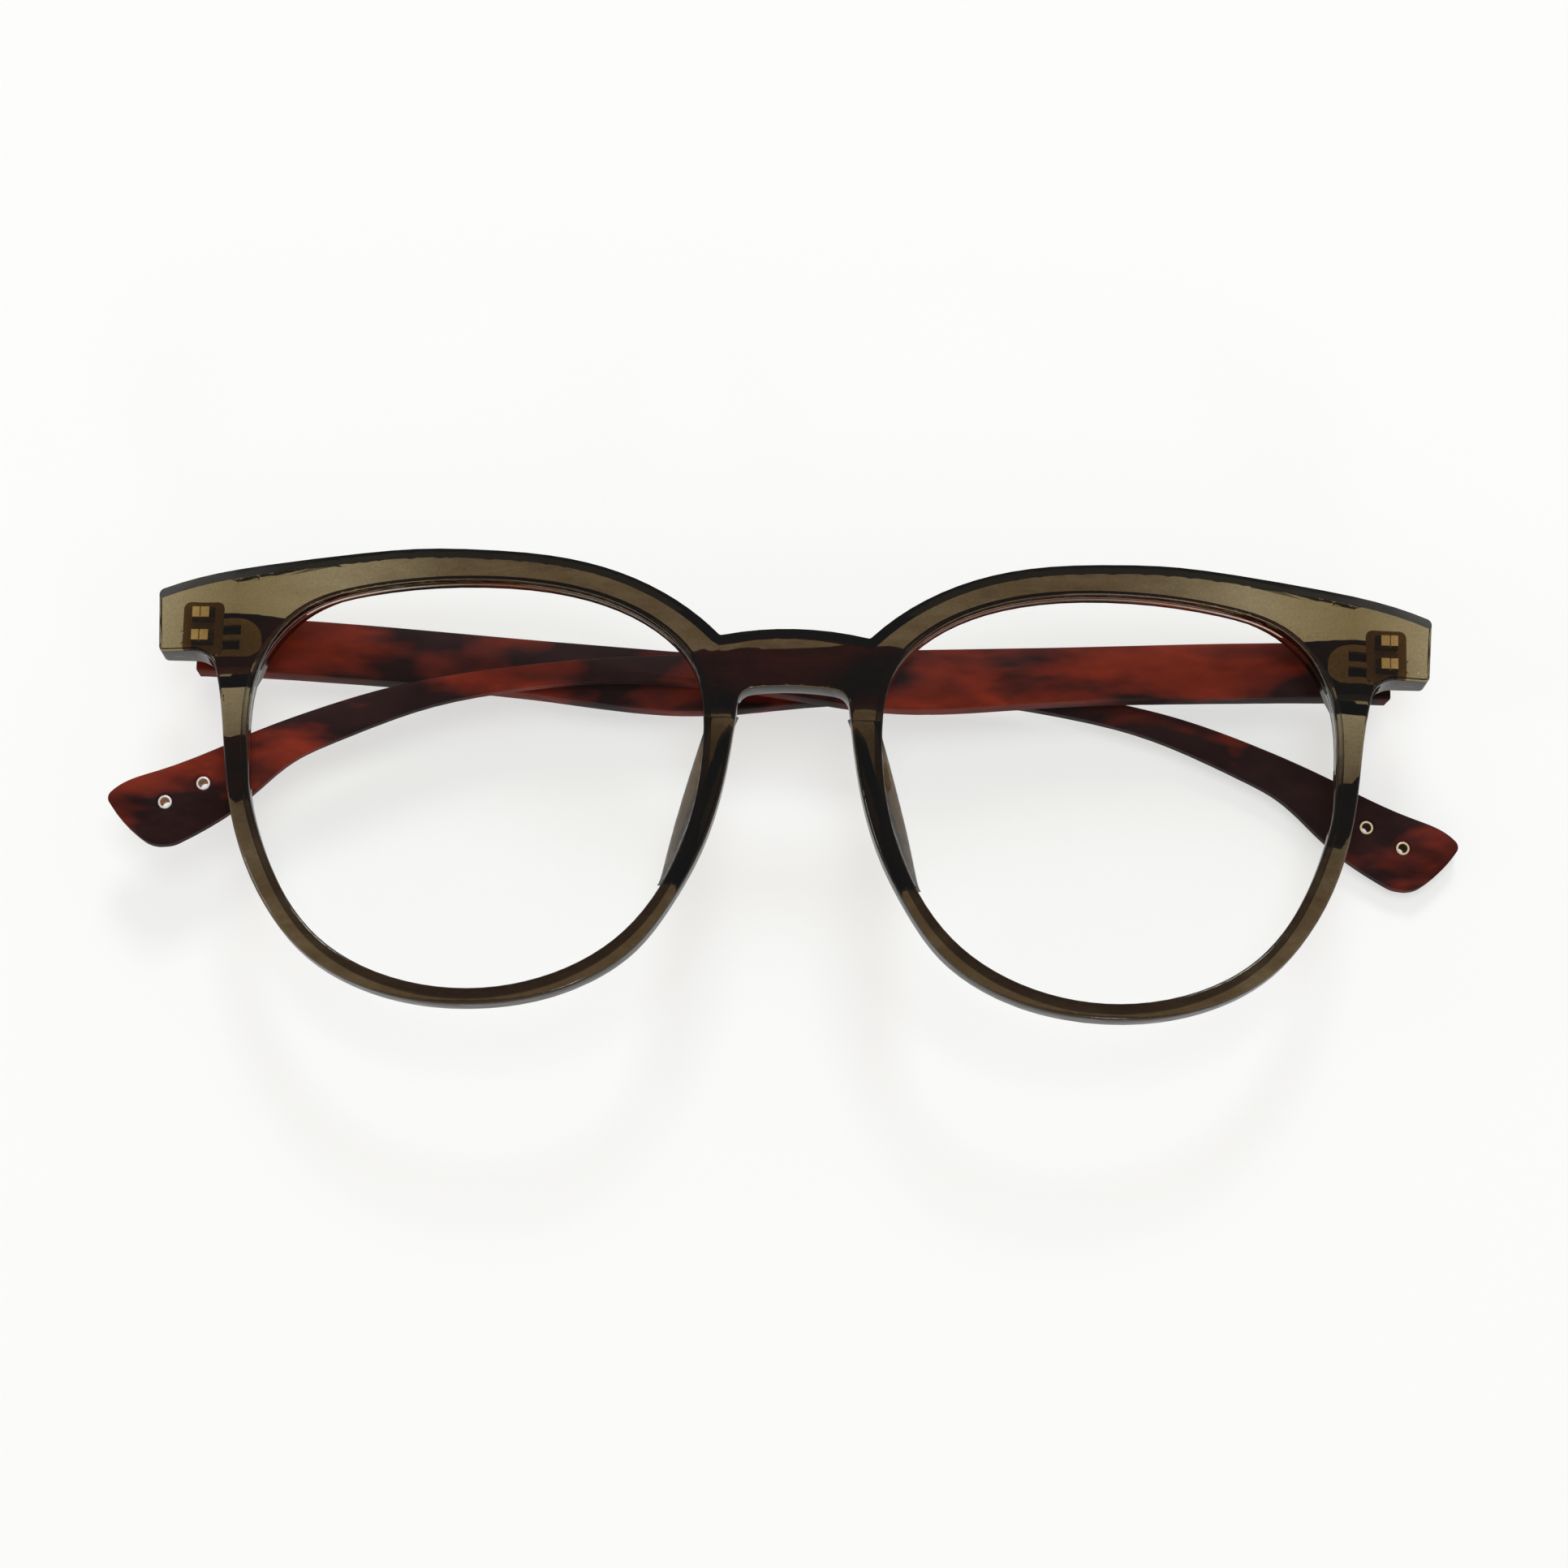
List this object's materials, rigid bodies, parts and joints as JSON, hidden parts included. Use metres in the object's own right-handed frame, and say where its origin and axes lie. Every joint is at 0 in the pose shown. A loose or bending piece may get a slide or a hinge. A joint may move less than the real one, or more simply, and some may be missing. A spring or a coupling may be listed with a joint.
{
  "type": "prescription glasses",
  "caption": "Full-rim plastic glasses with rounded square lenses, a bevelled brow, moulded nose pads and two hinged temples, folded and lying face up.",
  "frame": {"origin": "on the table, under the middle of the folded glasses' bounding box", "axes": "+X to the wearer's left along the front, +Y up towards the brow, +Z from the table out through the front of the lenses"},
  "size_m": [0.1549, 0.0522, 0.0247],
  "materials": {
    "olive_plastic": "polished, slightly see-through olive",
    "lens": "clear, coated",
    "red_plastic": "satin, mottled dark red",
    "brass": "polished",
    "screw": "polished",
    "gold_eyelet": "polished",
    "steel_eyelet": "polished"
  },
  "bodies": {
    "front": {"front_frame": "olive_plastic", "lens_right": "lens", "lens_left": "lens", "front_hinge_right": "brass", "front_hinge_left": "brass"},
    "temple_right": {"temple_right": "red_plastic", "temple_hinge_right": "brass", "hinge_screw_right": "screw", "eyelet_right_upper": "gold_eyelet", "eyelet_right_lower": "gold_eyelet"},
    "temple_left": {"temple_left": "red_plastic", "temple_hinge_left": "brass", "hinge_screw_left": "screw", "eyelet_left_upper": "steel_eyelet", "eyelet_left_lower": "steel_eyelet"}
  },
  "joints": [
    {"name": "temple_right_hinge", "type": "hinge", "parent": "front", "child": "temple_right", "pos_m": [-0.067, 0.01786, 0.01065], "axis": [0, 1, 0], "range_deg": [0, 91.6]},
    {"name": "temple_left_hinge", "type": "hinge", "parent": "front", "child": "temple_left", "pos_m": [0.067, 0.01786, 0.01065], "axis": [0, -1, 0], "range_deg": [0, 95.2]}
  ]
}
